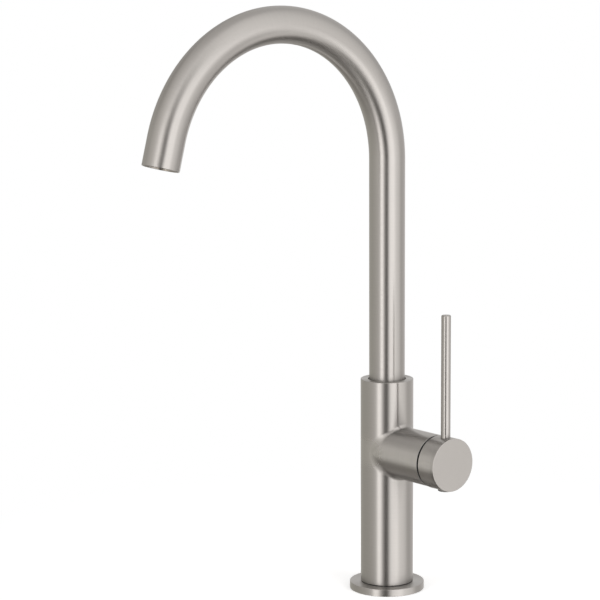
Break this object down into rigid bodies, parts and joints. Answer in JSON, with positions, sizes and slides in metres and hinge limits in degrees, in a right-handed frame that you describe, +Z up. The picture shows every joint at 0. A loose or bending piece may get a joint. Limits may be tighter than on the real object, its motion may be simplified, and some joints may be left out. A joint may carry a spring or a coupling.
{
  "type": "kitchen mixer tap",
  "caption": "Deck-mounted kitchen mixer tap with a round column, high swivelling gooseneck spout, side valve housing and a slim upright pin lever.",
  "frame": {"origin": "on the column's axis at the top of the deck, in the middle of the hose passage", "axes": "+Z up along the column, -Y the way the spout points at rest, +X along the valve's axis towards the handle"},
  "size_m": [0.1026, 0.2485, 0.4937],
  "materials": {
    "brushed_nickel": "satin brushed nickel",
    "steel": "plain steel",
    "brass": "turned brass",
    "black_rubber": "matt black rubber",
    "dark_plastic": "matt dark plastic",
    "white_plastic": "matt white plastic",
    "ceramic": "lapped alumina ceramic"
  },
  "bodies": {
    "body": {"mixer_body": "brushed_nickel", "base_flange": "brushed_nickel", "deck_seal": "black_rubber", "foot_gasket": "black_rubber", "threaded_shank": "brass", "deck_washer_rubber": "black_rubber", "deck_washer_steel": "steel", "lock_nut": "brass", "retaining_screw": "steel", "upper_glide_ring": "dark_plastic", "lower_glide_ring": "white_plastic", "cartridge_base": "white_plastic", "port_seals": "black_rubber", "cartridge_casing": "white_plastic", "fixed_disc": "ceramic", "cartridge_nut": "brass", "dress_ring": "dark_plastic"},
    "spout": {"spout_tube": "brushed_nickel", "spout_spigot": "brass", "spigot_o_rings": "black_rubber", "outlet_insert": "brass", "aerator_seal": "black_rubber", "aerator_housing": "dark_plastic", "aerator_screen": "dark_plastic", "aerator_core": "white_plastic"},
    "mixing_guide": {"stem_guide": "white_plastic", "pivot_pin": "steel"},
    "handle": {"valve_stem": "steel", "handle_cap": "brushed_nickel", "lever_pin": "brushed_nickel", "handle_screw": "steel", "index_plug": "brushed_nickel"},
    "disc_slide": {"moving_disc": "ceramic", "disc_carrier": "white_plastic"}
  },
  "joints": [
    {"name": "spout_swivel", "type": "hinge", "parent": "body", "child": "spout", "pos_m": [0, 0, 0.15], "axis": [0, 0, 1], "continuous": true},
    {"name": "temperature_turn", "type": "hinge", "parent": "body", "child": "mixing_guide", "pos_m": [0.0296, 0, 0.1084], "axis": [1, 0, 0], "range_deg": [-45, 45]},
    {"name": "flow_tilt", "type": "hinge", "parent": "mixing_guide", "child": "handle", "pos_m": [0.0296, 0, 0.1084], "axis": [0, 1, 0], "range_deg": [0, 18]},
    {"name": "disc_travel", "type": "slide", "parent": "mixing_guide", "child": "disc_slide", "axis": [0, 0, 1], "range_m": [0, 0.0023]}
  ],
  "couplings": [
    {"joint": "disc_travel", "follows": "flow_tilt", "m_per_rad": 0.0072}
  ]
}
